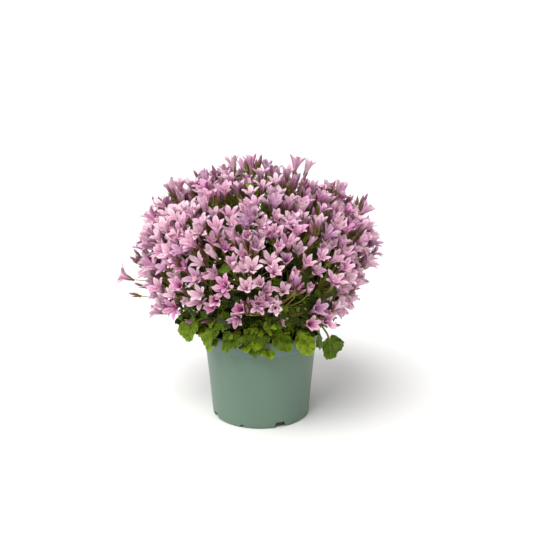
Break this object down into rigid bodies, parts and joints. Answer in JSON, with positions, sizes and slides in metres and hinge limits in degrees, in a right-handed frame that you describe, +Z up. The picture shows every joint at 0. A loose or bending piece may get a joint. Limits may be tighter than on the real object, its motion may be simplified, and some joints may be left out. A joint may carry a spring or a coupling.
{
  "type": "potted bellflower",
  "caption": "Round, bushy bellflower in full bloom, pink star-shaped bells over toothed green leaves, growing in a tapered grey-green plastic nursery pot.",
  "frame": {"origin": "on the ground under the pot's axis, at the middle of the flat pad under its floor", "axes": "+Z up along the pot's axis, -Y towards the front of the picture, +X to the right of the picture"},
  "size_m": [0.2792, 0.2541, 0.2702],
  "materials": {
    "pot_plastic": "satin",
    "compost": "matt, crumbly",
    "leaf": "matt",
    "petals": "soft, matt"
  },
  "bodies": {
    "root": {"pot": "pot_plastic", "rim_leaf_00": "leaf", "rim_leaf_01": "leaf", "rim_leaf_02": "leaf", "rim_leaf_03": "leaf", "rim_leaf_04": "leaf", "rim_leaf_05": "leaf", "rim_leaf_06": "leaf", "rim_leaf_07": "leaf", "rim_leaf_08": "leaf", "rim_leaf_09": "leaf", "rim_leaf_10": "leaf", "rim_leaf_11": "leaf", "rim_leaf_12": "leaf", "rim_leaf_13": "leaf", "rim_leaf_14": "leaf", "soil": "compost", "spray_00": "petals", "spray_01": "petals", "spray_02": "petals", "spray_03": "petals", "spray_04": "petals", "spray_05": "petals", "spray_06": "petals", "spray_07": "petals", "spray_08": "petals", "spray_09": "petals", "spray_10": "petals", "spray_11": "petals", "spray_12": "petals", "spray_13": "petals", "spray_14": "petals", "spray_15": "petals", "spray_16": "petals", "spray_17": "petals", "spray_18": "petals", "spray_19": "petals", "spray_20": "petals", "spray_21": "petals", "spray_22": "petals", "spray_23": "petals", "spray_24": "petals", "spray_25": "petals", "spray_26": "petals", "spray_27": "petals", "spray_28": "petals", "spray_29": "petals", "spray_30": "petals"}
  },
  "joints": []
}
